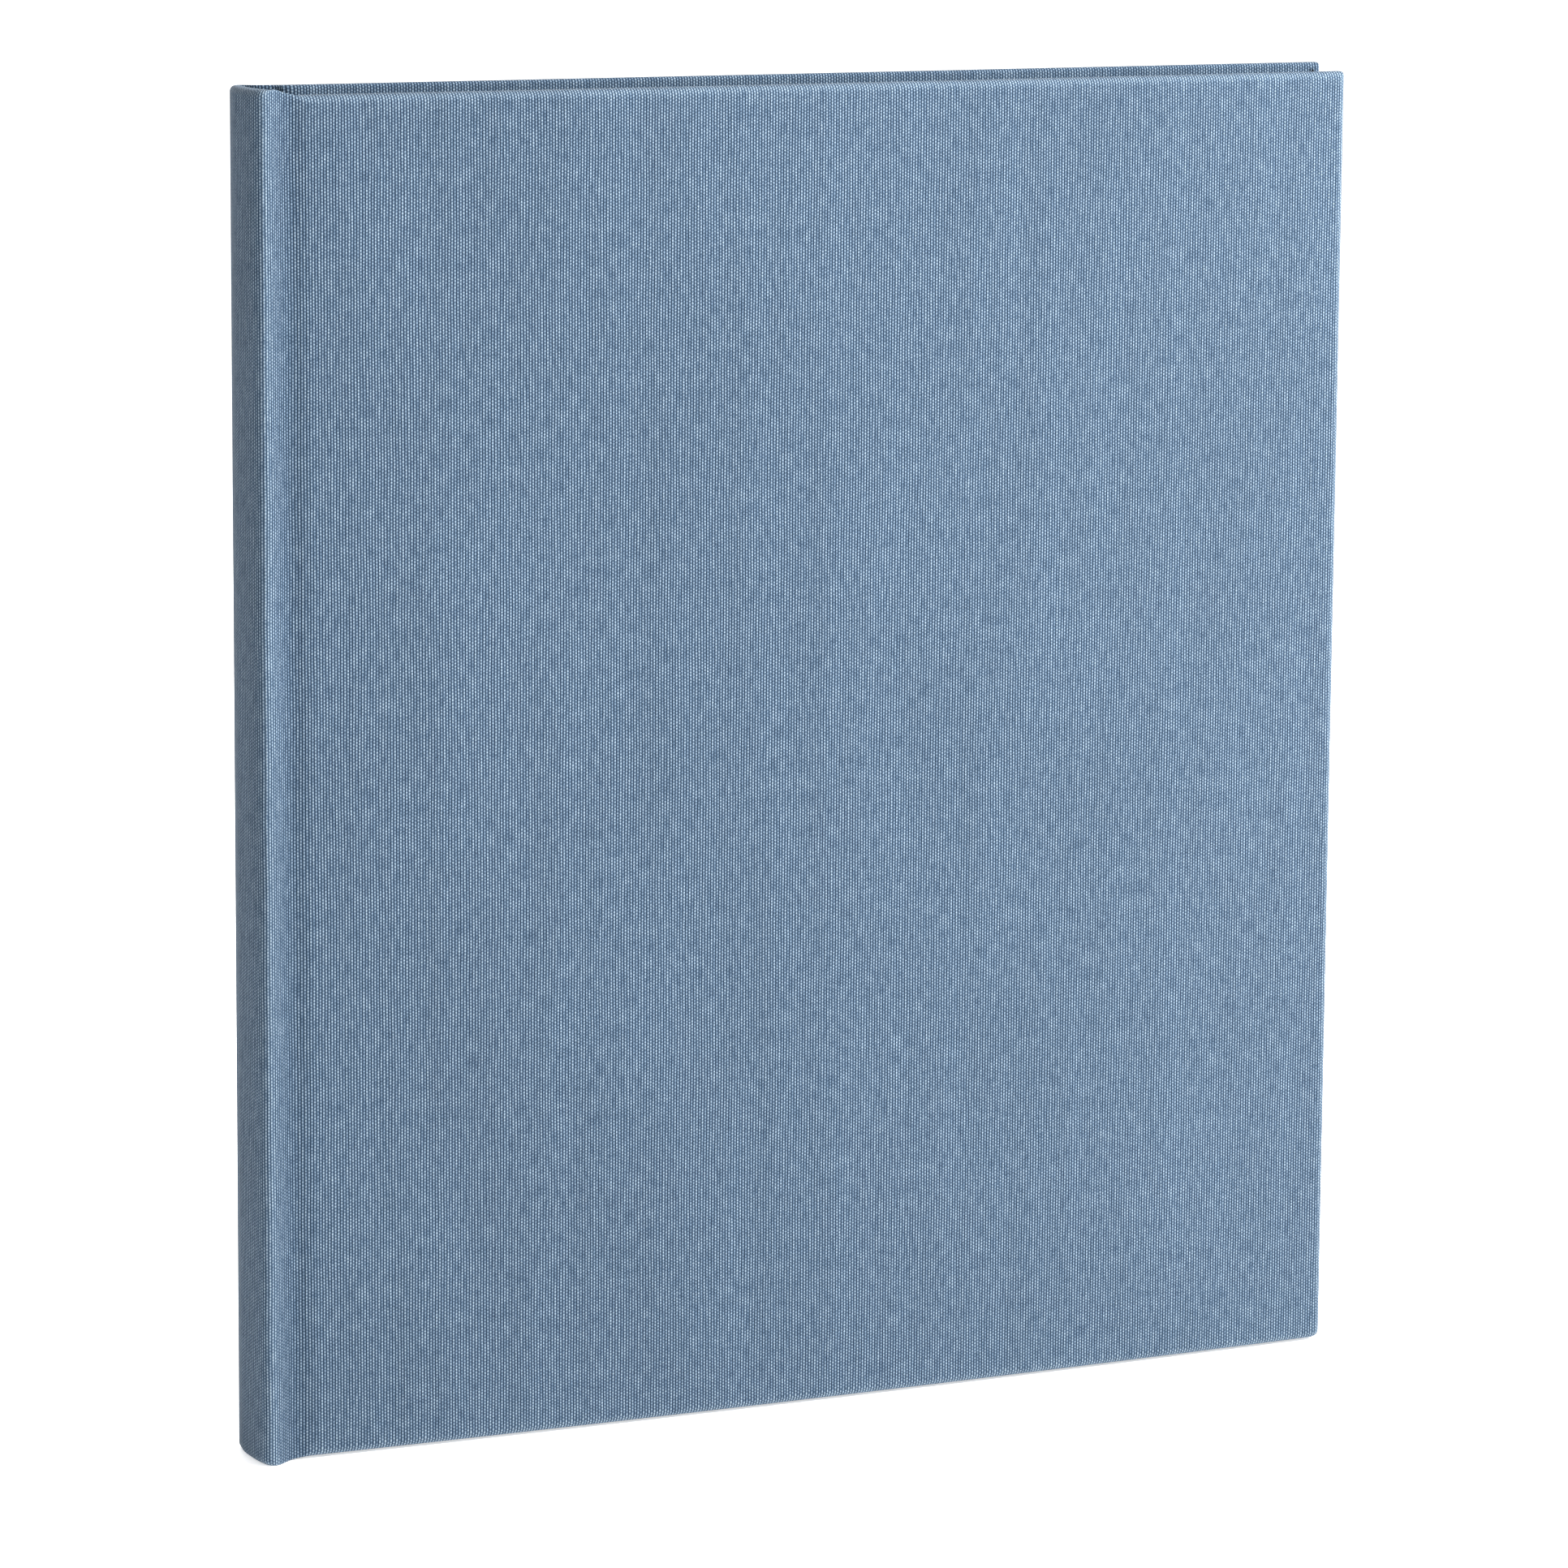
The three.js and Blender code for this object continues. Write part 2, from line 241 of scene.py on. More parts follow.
def bookcloth():
    """Plain-woven cloth with upright ribs, two-tone, with slubs and faint upright streaks. Its ramp also
    paints shade into the gaps between ribs and highlights on the thread tops, and the mesh's attribute adds
    painted highlight and shade.
    """
    material, tree, shader = blank("bookcloth_blue", 0.85, sheen=0.04)
    shader.inputs["Sheen Roughness"].default_value = 0.5
    shader.inputs["Specular IOR Level"].default_value = 0.15
    u, v = surface_axes(tree)
    sway = stretched_noise(tree, u, v, 90, 30)
    drift = stretched_noise(tree, u, v, 30, 110)
    across = calc(tree, "ADD", calc(tree, "DIVIDE", u, RIB), calc(tree, "MULTIPLY_ADD", sway, 0.9, -0.45))
    along = calc(tree, "ADD", calc(tree, "DIVIDE", v, SWELL), calc(tree, "MULTIPLY_ADD", drift, 0.9, -0.45))
    side = calc(tree, "SINE", calc(tree, "MULTIPLY", across, math.pi))
    swell = calc(tree, "COSINE", calc(tree, "MULTIPLY", along, 2 * math.pi))
    rib_height = calc(tree, "ABSOLUTE", side)
    over = calc(tree, "MULTIPLY", side, swell)
    weave = calc(tree, "MULTIPLY_ADD", over, 0.22, calc(tree, "MULTIPLY", rib_height, 0.78))
    slub = stretched_noise(tree, u, v, 1 / RIB, 260, detail=1.0)
    weft = stretched_noise(tree, u, v, 240, 2 / SWELL, detail=1.0)
    fibre = stretched_noise(tree, u, v, 5200, 2600, detail=2.0, roughness=0.7)
    thread = calc(tree, "ADD", calc(tree, "MULTIPLY", slub, 0.75), calc(tree, "MULTIPLY", weft, 0.50))
    height = calc(tree, "MULTIPLY", weave, calc(tree, "ADD", thread, 0.38))
    height = calc(tree, "MULTIPLY_ADD", calc(tree, "SUBTRACT", fibre, 0.5), 0.35, height, clamp=True)
    # Painted light from the mesh: painted highlight on the spine's ridges and edges (with some real rubbing
    # there), painted shade in the joints.
    tone_shift = node(tree, "Attribute", attribute_name="wear_and_painted_light").outputs["Fac"]
    tone = calc(tree, "MULTIPLY_ADD", tone_shift, 0.16, height)
    # Partly the yarn's own two tones, partly painted light: painted shade in the gaps between ribs, painted
    # highlight on the thread tops.
    colour = ramp(tree, tone, [
        (0.14, (0.024, 0.053, 0.104)),
        (0.40, (0.077, 0.141, 0.232)),
        (0.64, (0.182, 0.286, 0.420)),
        (0.86, (0.360, 0.500, 0.665)),
        (1.00, (0.590, 0.750, 0.890)),
    ])
    streak = stretched_noise(tree, u, v, 150, 9, detail=3.0)
    cloud = stretched_noise(tree, u, v, 22, 16, detail=4.0)
    shade = calc(tree, "ADD", calc(tree, "MULTIPLY", streak, 0.24), calc(tree, "MULTIPLY", cloud, 0.18))
    shade = calc(tree, "MULTIPLY", calc(tree, "ADD", shade, 0.79), CLOTH_SHADE)
    tinted = node(tree, "VectorMath", {0: colour, "Scale": shade}, operation="SCALE")
    tree.links.new(tinted.outputs["Vector"], shader.inputs["Base Color"])
    rough = calc(tree, "MULTIPLY_ADD", height, -0.15, 0.95)
    tree.links.new(rough, shader.inputs["Roughness"])
    relief = node(tree, "Bump", {"Strength": 0.85, "Distance": 0.00016, "Height": height})
    tree.links.new(relief.outputs["Normal"], shader.inputs["Normal"])
    return material


def paper(name, light, dark, axes="XZ", grain=900, fleck=0.10, ribs=0.0):
    """Matt paper or board: pulp mottle, fibres and a few flecks; ribs gives laid lines."""
    material, tree, shader = blank(name, 0.9)
    u, v = surface_axes(tree, axes)
    cloud = stretched_noise(tree, u, v, 35, 28, detail=4.0)
    pulp = stretched_noise(tree, u, v, grain, grain * 0.6, detail=3.0, roughness=0.7)
    tone = calc(tree, "ADD", calc(tree, "MULTIPLY", cloud, 0.4), calc(tree, "MULTIPLY", pulp, 0.6))
    if ribs:
        laid = calc(tree, "SINE", calc(tree, "MULTIPLY", v, 2 * math.pi * ribs))
        tone = calc(tree, "MULTIPLY_ADD", laid, 0.05, tone)
    base = ramp(tree, tone, [(0.30, dark), (0.55, light), (0.75, tuple(min(1, c * 1.04) for c in light))])
    spots = stretched_noise(tree, u, v, grain * 1.7, grain * 0.9, detail=0.0)
    spot = calc(tree, "MULTIPLY", calc(tree, "GREATER_THAN", spots, 0.74), fleck)
    mixed = node(tree, "MixRGB", {"Fac": spot, "Color1": base, "Color2": (*[c * 0.45 for c in dark], 1)})
    tree.links.new(mixed.outputs[0], shader.inputs["Base Color"])
    relief = node(tree, "Bump", {"Strength": 0.35, "Distance": 0.00006, "Height": tone})
    tree.links.new(relief.outputs["Normal"], shader.inputs["Normal"])
    return material


def linen(name, light, dark, axes, pitch, open_weave=0.0):
    """A small plain weave in an undyed yarn, close for tape and guards, open for mull."""
    material, tree, shader = blank(name, 0.9, sheen=0.1)
    u, v = surface_axes(tree, axes)
    wander = stretched_noise(tree, u, v, 120, 120)
    turn = math.pi / pitch
    bend = calc(tree, "MULTIPLY_ADD", wander, 1.6, -0.8)
    first = calc(tree, "SINE", calc(tree, "MULTIPLY_ADD", u, turn, bend))
    second = calc(tree, "SINE", calc(tree, "MULTIPLY_ADD", v, turn, bend))
    over = calc(tree, "MULTIPLY", first, second)
    ridge = calc(tree, "MAXIMUM", calc(tree, "ABSOLUTE", first), calc(tree, "ABSOLUTE", second))
    slub = stretched_noise(tree, u, v, 1 / pitch, 200, detail=2.0)
    height = calc(tree, "MULTIPLY_ADD", over, 0.2, calc(tree, "MULTIPLY", ridge, 0.7))
    height = calc(tree, "MULTIPLY", height, calc(tree, "ADD", slub, 0.55 - 0.1 * open_weave), clamp=True)
    colour = ramp(tree, height, [(0.10 + 0.25 * open_weave, dark), (0.60, light)])
    tree.links.new(colour, shader.inputs["Base Color"])
    relief = node(tree, "Bump", {"Strength": 0.7, "Distance": 0.00010, "Height": height})
    tree.links.new(relief.outputs["Normal"], shader.inputs["Normal"])
    return material


def silk_bead():
    """Headband silk: fine turns of thread in two colours, wound across the bead."""
    material, tree, shader = blank("headband_silk", 0.45, sheen=0.3)
    across, up = surface_axes(tree, "YZ")
    lean = calc(tree, "MULTIPLY_ADD", up, 0.35, across)
    turns = calc(tree, "SINE", calc(tree, "MULTIPLY", lean, 2 * math.pi / 0.00032))
    band = calc(tree, "SINE", calc(tree, "MULTIPLY", lean, 2 * math.pi / 0.0022))
    tone_shift = stretched_noise(tree, across, up, 900, 900)
    which = calc(tree, "GREATER_THAN", calc(tree, "MULTIPLY_ADD", tone_shift, 0.3, band), 0.15)
    thread = node(tree, "MixRGB", {
        "Fac": which, "Color1": (0.090, 0.150, 0.235, 1), "Color2": (0.720, 0.740, 0.720, 1)})
    shade = calc(tree, "MULTIPLY_ADD", turns, 0.15, 0.85)
    tinted = node(tree, "VectorMath", {0: thread.outputs[0], "Scale": shade}, operation="SCALE")
    tree.links.new(tinted.outputs["Vector"], shader.inputs["Base Color"])
    relief = node(tree, "Bump", {"Strength": 0.8, "Distance": 0.00008, "Height": turns})
    tree.links.new(relief.outputs["Normal"], shader.inputs["Normal"])
    return material


def studio_floor():
    material, tree, shader = blank("studio_floor", 0.95)
    where = node(tree, "TexCoord").outputs["Object"]
    soft = node(tree, "TexNoise", {"Vector": where, "Scale": 1.5, "Detail": 1.0})
    colour = ramp(tree, soft.outputs["Fac"], [(0.3, (0.93, 0.93, 0.93)), (0.7, (0.95, 0.95, 0.95))])
    tree.links.new(colour, shader.inputs["Base Color"])
    shader.inputs["Emission Color"].default_value = (1, 1, 1, 1)
    shader.inputs["Emission Strength"].default_value = FLOOR_GLOW
    return material


MATERIALS = {
    "bookcloth": bookcloth(),
    "greyboard": paper("greyboard_pulp", (0.270, 0.245, 0.205), (0.190, 0.170, 0.140), grain=500, fleck=0.6),
    "endpaper": paper("endpaper_laid", (0.490, 0.452, 0.378), (0.420, 0.380, 0.308), axes=None, ribs=950),
    "leaf": paper("leaf_card", (0.505, 0.472, 0.402), (0.450, 0.415, 0.340), axes=None,
                  grain=700, fleck=0.25),
    "kraft": paper("kraft_lining", (0.400, 0.255, 0.125), (0.310, 0.190, 0.090), axes="YZ",
                   ribs=500, fleck=0.4),
    "guard": linen("guard_linen", (0.500, 0.450, 0.345), (0.310, 0.270, 0.200), "XZ", 0.00045),
    "tape": linen("tape_linen", (0.520, 0.475, 0.390), (0.330, 0.290, 0.225), "YZ", 0.00040),
    "mull": linen("mull_gauze", (0.510, 0.470, 0.380), (0.180, 0.150, 0.110), None, 0.00090, open_weave=1.0),
    "headband": silk_bead(),
}


def finish_with(piece, name):
    piece.data.materials.clear()
    piece.data.materials.append(MATERIALS[name])


# ------------------------------------------------------------------- meshes

def quads_to_object(name, quads, thickness=0.0, outward=(0, -1, 0)):
    """An object from separate quads, each four (point, (u, v), wear and painted light); the points are in
    plan millimetres. Shared corners are merged. thickness gives a sheet its depth, laid
    on the inner side, and outward is the way that the sheet's main face looks."""
    mesh = bpy.data.meshes.new(name)
    bm = bmesh.new()
    weave = bm.loops.layers.uv.new("weave")
    # A per-vertex value that the cloth adds to its tone: rubbed edges (real rubbing plus painted highlight),
    # painted highlight on the spine's ridges, painted shade in the joints.
    wear_and_painted_light = bm.verts.layers.float.new("wear_and_painted_light")
    for quad in quads:
        verts = []
        for point, _, tone_shift in quad:
            vert = bm.verts.new(plan(*point))
            vert[wear_and_painted_light] = tone_shift
            verts.append(vert)
        face = bm.faces.new(verts)
        for loop, (_, uv, _) in zip(face.loops, quad):
            loop[weave].uv = (uv[0] * MM, uv[1] * MM)
    bmesh.ops.remove_doubles(bm, verts=bm.verts, dist=2e-6)
    bmesh.ops.recalc_face_normals(bm, faces=bm.faces)
    bm.faces.ensure_lookup_table()
    largest = max(bm.faces, key=lambda f: f.calc_area())
    if largest.normal.dot(Vector(outward)) < 0:
        bmesh.ops.reverse_faces(bm, faces=bm.faces)
    for face in bm.faces:
        face.smooth = True
    bm.to_mesh(mesh)
    bm.free()
    obj = bpy.data.objects.new(name, mesh)
    bpy.context.collection.objects.link(obj)
    if thickness:
        shell = obj.modifiers.new("shell", "SOLIDIFY")
        shell.thickness = thickness * MM
        shell.offset = -1.0
        bake_modifiers(obj)
    obj.data.set_sharp_from_angle(angle=math.radians(52))
    return obj


def bake_modifiers(obj):
    graph = bpy.context.evaluated_depsgraph_get()
    final = bpy.data.meshes.new_from_object(
        obj.evaluated_get(graph), preserve_all_data_layers=True, depsgraph=graph)
    obj.modifiers.clear()
    obj.data = final


def arch(x):
    s = (x - BOARD_START) / (FORE_EDGE - BOARD_START)
    return 4 * s * (1 - s) if 0 < s < 1 else 0.0


def face_y(side, x, depth):
    """Where a depth below a cover's outer face lies in y."""
    if side == "front":
        return depth - BOWS[side] * arch(x)
    return THICKNESS - depth - BOWS[side] * arch(x)


def smooth_line(points, step):
    """Evenly spaced rows along a Catmull-Rom curve; the spacing is measured in x and y."""
    points = np.array(points, float)
    padded = np.vstack([2 * points[0] - points[1], points, 2 * points[-1] - points[-2]])
    dense = []
    for a, b, c, d in zip(padded, padded[1:], padded[2:], padded[3:]):
        for t in np.linspace(0, 1, 24, endpoint=False):
            dense.append(0.5 * (2 * b + (c - a) * t + (2 * a - 5 * b + 4 * c - d) * t * t
                                + (3 * b - a - 3 * c + d) * t ** 3))
    dense = np.array(dense + [points[-1]])
    travel = np.concatenate([[0], np.cumsum(np.linalg.norm(np.diff(dense[:, :2], axis=0), axis=1))])
    count = max(2, round(travel[-1] / step))
    stations = np.linspace(0, travel[-1], count + 1)
    return np.array([np.interp(stations, travel, dense[:, k]) for k in range(dense.shape[1])]).T


def case_stations(side):
    """Stations in plan from the middle of the spine to the fore-edge's arris: outer point,
    inner point, and how far along the cloth each lies."""
    line = FRONT_LINE if side == "front" else BACK_LINE
    pairs = [(*outer, *inner) for outer, inner in line]
    if side == "back":
        pairs = [(ox, THICKNESS - oy, ix, THICKNESS - iy) for ox, oy, ix, iy in pairs]
    rows = [list(row) for row in smooth_line(pairs, 0.42)]
    near = [FORE_EDGE - s for s in reversed([ARRIS] + MITRE_STEPS)]
    for x in [*np.linspace(13.5, near[0] - 5, 46), *near]:
        rows.append([x, face_y(side, x, 0), x, face_y(side, x, COVER_DEPTH)])
    rows = np.array(rows)
    along = np.concatenate([[0], np.cumsum(np.linalg.norm(np.diff(rows[:, :2], axis=0), axis=1))])
    return rows, along


def cap_profile(depth, outer_radius, inner_radius, insets):
    """The path from a face over an edge and onto the inner face: (depth, inset, length)."""
    path = []
    for a in np.linspace(0, math.pi / 2, 9):
        path.append((outer_radius * (1 - math.cos(a)), outer_radius * (1 - math.sin(a))))
    for a in np.linspace(0, math.pi / 2, 6):
        path.append((depth - inner_radius * (1 - math.sin(a)), inner_radius * (1 - math.cos(a))))
    path += [(depth, inset) for inset in insets]
    steps = [0.0]
    for (d0, i0), (d1, i1) in zip(path, path[1:]):
        steps.append(steps[-1] + math.hypot(d1 - d0, i1 - i0))
    return [(d, i, s) for (d, i), s in zip(path, steps)]


def edge_wear_and_highlight(length, radius):
    """How rubbed the cloth is, and how much painted highlight it takes, at this length round an edge whose
    arris has that radius.
    """
    crest = radius * 0.75
    return math.exp(-((length - crest) / (0.55 * radius)) ** 2)


def ridge_highlight_joint_shade(x):
    """Painted highlight: the spine's ridges are made pale; painted shade: the joints are made dark."""
    return 0.7 * math.exp(-((x - 0.8) / 1.5) ** 2) - 0.50 * math.exp(-((x - 6.0) / 2.6) ** 2)


class CaseHalf:
    """Half of the case's cloth as quads: half the spine, the joint, the cover, and the
    turn-ins at the head, the fore-edge and the tail, mitred at the corners. The methods
    on_... each give one corner of a quad: its point, its place on the flat cloth, its wear
    and painted light (painted highlight on ridges and edges, painted shade in the joints)."""

    def __init__(self, side):
        self.side = side
        self.height = HEIGHTS[side]
        self.rows, self.along = case_stations(side)
        self.last = len(self.rows) - 1
        insets = [ARRIS] + [s for s in MITRE_STEPS if s <= TURN_IN]
        self.fore = cap_profile(COVER_DEPTH, ARRIS, INNER_ARRIS, insets)
        self.rings = len(self.fore)
        self.round_edge_rings = self.rings - len(insets)  # the rings before this one lie on the round edge
        self.profiles, self.tops, self.tails = [], [], []
        for ox, oy, ix, iy in self.rows:
            depth = math.hypot(ix - ox, iy - oy)
            outer = min(ARRIS, depth * 0.5)
            inner = min(INNER_ARRIS, depth * 0.4)
            self.profiles.append(cap_profile(depth, outer, inner, insets))
            share = cover_share(ox)
            self.tops.append(LIFT + SPINE_HEIGHT + (self.height - SPINE_HEIGHT) * share)
            self.tails.append(LIFT * share)
        low = [ARRIS] + MITRE_STEPS
        high = [self.height - s for s in reversed(low)]
        middle = list(np.linspace(low[-1], high[0], 44))[1:-1]
        self.levels = [(z - ARRIS) / (self.height - 2 * ARRIS) for z in low + middle + high]

    def on_face(self, i, t):
        x, y = self.rows[i][:2]
        radius = self.profiles[i][0][1]
        z = self.tails[i] + radius + (self.tops[i] - self.tails[i] - 2 * radius) * t
        # Painted highlight on the spine's ridges and painted shade in the joints.
        return (x, y, z), (self.along[i], z), ridge_highlight_joint_shade(x)

    def on_edge(self, i, k, head):
        """Ring k of the tail's or the head's edge at station i."""
        depth, inset, length = self.profiles[i][k]
        ox, oy, ix, iy = self.rows[i]
        # Painted highlight on the spine's ridges and painted shade in the joints; on the round edge, real
        # rubbing plus painted highlight.
        rub_and_painted_light = ridge_highlight_joint_shade(ox)
        start = self.profiles[i][0][1]
        if k < self.round_edge_rings:
            rub_and_painted_light += edge_wear_and_highlight(length, start)
        to_corner = FORE_EDGE - ox
        over = inset - to_corner
        if over > 0:
            inset, length = to_corner, length - over
        share = depth / self.profiles[i][-1][0]
        x, y = ox + (ix - ox) * share, oy + (iy - oy) * share
        z, v = self.tails[i] + inset, start - length
        if head:
            z, v = self.tops[i] - inset, self.tops[i] - start + length
        return (x, y, z), (self.along[i], v), rub_and_painted_light

    def on_fore(self, z, k):
        """Ring k of the fore-edge at height z."""
        depth, inset, length = self.fore[k]
        # The round edge is made paler: real rubbing plus painted highlight.
        rub_and_painted_light = edge_wear_and_highlight(length, ARRIS) if k < self.round_edge_rings else 0.0
        over = inset - min(z, self.height - z)
        if over > 0:
            inset, length = inset - over, length - over
        x = FORE_EDGE - inset
        return (x, face_y(self.side, x, depth), z + LIFT), (self.along[-1] + length, z), rub_and_painted_light

    def on_corner(self, angle, k, head, as_fore):
        """Ring k of a rounded corner; its flat place joins the fore-edge's or the edge's."""
        depth, inset, length = self.fore[k]
        radius = HEAD_CORNER if head else TAIL_CORNER
        if inset < radius:
            x = FORE_EDGE - radius + (radius - inset) * math.sin(angle)
            z = radius - (radius - inset) * math.cos(angle)
        else:
            x, z = FORE_EDGE - inset, inset
        end = self.along[-1]
        flat = (end + length, z) if as_fore else (end + x - FORE_EDGE + ARRIS, ARRIS - length)
        if head:
            z = self.height - z
            flat = (flat[0], z if as_fore else self.height - flat[1])
        # The round edge is made paler, more so at the corner: real rubbing plus painted highlight.
        rub_and_painted_light = edge_wear_and_highlight(length, ARRIS) * 1.3 if k < self.round_edge_rings else 0.0
        return (x, face_y(self.side, x, depth), z + LIFT), flat, rub_and_painted_light

    def face_quads(self):
        return [[self.on_face(i, t0), self.on_face(i + 1, t0),
                 self.on_face(i + 1, t1), self.on_face(i, t1)]
                for i in range(self.last) for t0, t1 in zip(self.levels, self.levels[1:])]

    def edge_quads(self, k, head):
        return [[self.on_edge(i, k, head), self.on_edge(i + 1, k, head),
                 self.on_edge(i + 1, k + 1, head), self.on_edge(i, k + 1, head)]
                for i in range(self.last)]

    def corner_quads(self, k, head):
        def pair(angle, as_fore):
            return [self.on_corner(angle, ring, head, as_fore) for ring in (k, k + 1)]

        turns = np.linspace(0, math.pi / 2, 7)
        near, far = pair(turns[0], False)
        quads = [[self.on_edge(self.last, k, head), near, far, self.on_edge(self.last, k + 1, head)]]
        for a, b in zip(turns, turns[1:]):
            as_fore = (a + b) / 2 > math.pi / 4
            (near_a, far_a), (near_b, far_b) = pair(a, as_fore), pair(b, as_fore)
            quads.append([near_a, near_b, far_b, far_a])
        z = self.height - ARRIS if head else ARRIS
        near, far = pair(turns[-1], True)
        quads.append([near, self.on_fore(z, k), self.on_fore(z, k + 1), far])
        return quads

    def fore_quads(self, k):
        heights = [ARRIS + t * (self.height - 2 * ARRIS) for t in self.levels]
        return [[self.on_fore(z0, k), self.on_fore(z1, k), self.on_fore(z1, k + 1), self.on_fore(z0, k + 1)]
                for z0, z1 in zip(heights, heights[1:])]

    def quads(self):
        quads = self.face_quads()
        for k in range(self.rings - 1):
            for head in (False, True):
                quads += self.edge_quads(k, head) + self.corner_quads(k, head)
            quads += self.fore_quads(k)
        if self.side == "back":  # the weave runs on round the spine from one half to the other
            quads = [[(p, (-uv[0], uv[1]), w) for p, uv, w in quad] for quad in quads]
        return quads


def cover_share(x):
    """0 on the spine, 1 on the cover, and smooth across the joint between them."""
    share = min(1, max(0, (x - 3) / 7))
    return share * share * (3 - 2 * share)


def case_cloth(side):
    half = CaseHalf(side)
    outward = (0, -1, 0) if side == "front" else (0, 1, 0)
    piece = quads_to_object(f"{side}_case_cloth", half.quads(), CLOTH - 0.02, outward)
    finish_with(piece, "bookcloth")
    nodes = [f"{side}_cover_cloth", "spine_cloth"]
    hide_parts(*nodes)
    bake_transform(piece)


# ------------------------------------------------------------ inside pieces

def thin_sheet(name, columns, rows, path, thickness, finish, wave=0.0, seed=0.0):
    """A closed sheet of paper. path(u) gives its middle line in plan at a column, and rows
    are heights. wave is how far it may stray from that line."""
    line = np.array([path(c) for c in columns], float)
    along = np.concatenate([[0], np.cumsum(np.linalg.norm(np.diff(line, axis=0), axis=1))])
    tangent = np.gradient(line, axis=0)
    tangent /= np.linalg.norm(tangent, axis=1)[:, None]
    normal = np.stack([tangent[:, 1], -tangent[:, 0]], 1)
    half = thickness / 2

    def point(i, z, out):
        stray = wave * noise.noise(Vector((line[i][0] / 90, z / 90, seed)))
        stray *= min(1.0, along[i] / 60)
        x, y = line[i] + normal[i] * (stray + out)
        return (x, y, z), (along[i], z), 0.0

    quads = []
    for z0, z1 in zip(rows, rows[1:]):
        for out in (half, -half):
            for i in range(len(columns) - 1):
                quads.append([point(i, z0, out), point(i + 1, z0, out),
                              point(i + 1, z1, out), point(i, z1, out)])
        for i in (0, len(columns) - 1):
            quads.append([point(i, z0, half), point(i, z0, -half),
                          point(i, z1, -half), point(i, z1, half)])
    for z in (rows[0], rows[-1]):
        for i in range(len(columns) - 1):
            quads.append([point(i, z, half), point(i + 1, z, half),
                          point(i + 1, z, -half), point(i, z, -half)])
    piece = quads_to_object(name, quads)
    finish_with(piece, finish)
    return piece


def leaf_columns(start):
    near = np.linspace(start, start + 9, 10)
    return [*near, *np.linspace(start + 14, LEAF_END, 36)]


def paper_rows(low, high, count=34):
    return list(np.linspace(low, high, count))


def block_bow(x, y):
    """How far the covers' bow carries a leaf that lies at y."""
    share = (y - 3.9) / (THICKNESS - 7.8)
    bow = BOWS["front"] + (BOWS["back"] - BOWS["front"]) * share
    return -0.8 * bow * arch(x)


def leaves():
    for i in range(LEAVES):
        from_outside = min(i, LEAVES - 1 - i)
        root, y = ROOT_X + STAGGER * from_outside, FIRST_LEAF_Y + PITCH * i
        piece = thin_sheet(
            f"page_{i + 1:02d}", leaf_columns(root - 0.1), paper_rows(SQUARE, HEIGHTS["front"] - SQUARE),
            lambda x, y=y: (x, y + block_bow(x, y)), LEAF, "leaf", wave=0.25, seed=0.04 * i)
        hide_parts(f"leaf_{i + 1:02d}")
        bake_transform(piece)


def flyleaves():
    for side, y in (("front", FIRST_LEAF_Y - FLYLEAF_GAP), ("back", LAST_LEAF_Y + FLYLEAF_GAP)):
        piece = thin_sheet(
            f"{side}_free_endpaper", leaf_columns(FLYLEAF_X), paper_rows(SQUARE, HEIGHTS["front"] - SQUARE),
            lambda x, y=y: (x, y + block_bow(x, y)), ENDPAPER, "endpaper", wave=0.2,
            seed=0.04 * (-1 if side == "front" else LEAVES))
        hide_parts(f"{side}_flyleaf")
        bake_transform(piece)


def pastedowns():
    """The paper pasted inside each cover, which runs on across the joint to the spine."""
    for side in ("front", "back"):
        strip = [tuple(p) for p in smooth_line(HINGE_STRIP, 0.45)]
        middle = sum(PASTEDOWN) / 2
        if side == "back":
            strip = [(x, THICKNESS - y) for x, y in strip]
        line = strip + [(x, face_y(side, x, middle)) for x in np.linspace(13, FORE_EDGE - SQUARE, 42)]
        piece = thin_sheet(
            f"{side}_paste_endpaper", range(len(line)), paper_rows(SQUARE, HEIGHTS[side] - SQUARE),
            lambda i, line=line: line[i], PASTEDOWN[1] - PASTEDOWN[0], "endpaper")
        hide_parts(f"{side}_pastedown")
        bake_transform(piece)


def board_cores():
    """The binder's boards inside the covers, with their edges pressed round."""
    for side in ("front", "back"):
        columns = np.linspace(BOARD_START, FORE_EDGE - BOARD_INSET, 44)
        line = [(x, face_y(side, x, BOARD_DEPTH)) for x in columns]
        rows = paper_rows(LIFT + BOARD_INSET, LIFT + HEIGHTS[side] - BOARD_INSET, 30)
        piece = thin_sheet(f"{side}_board_core", range(len(line)), rows,
                           lambda i, line=line: line[i], BOARD_CORE, "greyboard")
        edge = piece.modifiers.new("pressed", "BEVEL")
        edge.width, edge.segments = 1.3 * MM, 4
        edge.limit_method, edge.angle_limit = "ANGLE", math.radians(50)
        bake_modifiers(piece)
        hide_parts(f"{side}_board")
        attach(piece, f"{side}_cover")


def spine_mull():
    """The gauze round the back of the block, with its cheeks against the outer guards."""
    low, high = FIRST_LEAF_Y - 0.5, LAST_LEAF_Y + 0.5
    back = BLOCK_X - 0.5
    cheek, middle = MULL_CHEEK_X, 7.5
    corners = [(cheek, low), (middle, low), (back + 0.5, low), (back, low + 0.5), (back, (low + high) / 2),
               (back, high - 0.5), (back + 0.5, high), (middle, high), (cheek, high)]
    line = smooth_line(corners, 0.35)
    piece = thin_sheet("spine_gauze", range(len(line)), paper_rows(15, 285, 30),
                       lambda i: tuple(line[i]), MULL, "mull")
    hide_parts("mull")
    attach(piece, "spine_block")


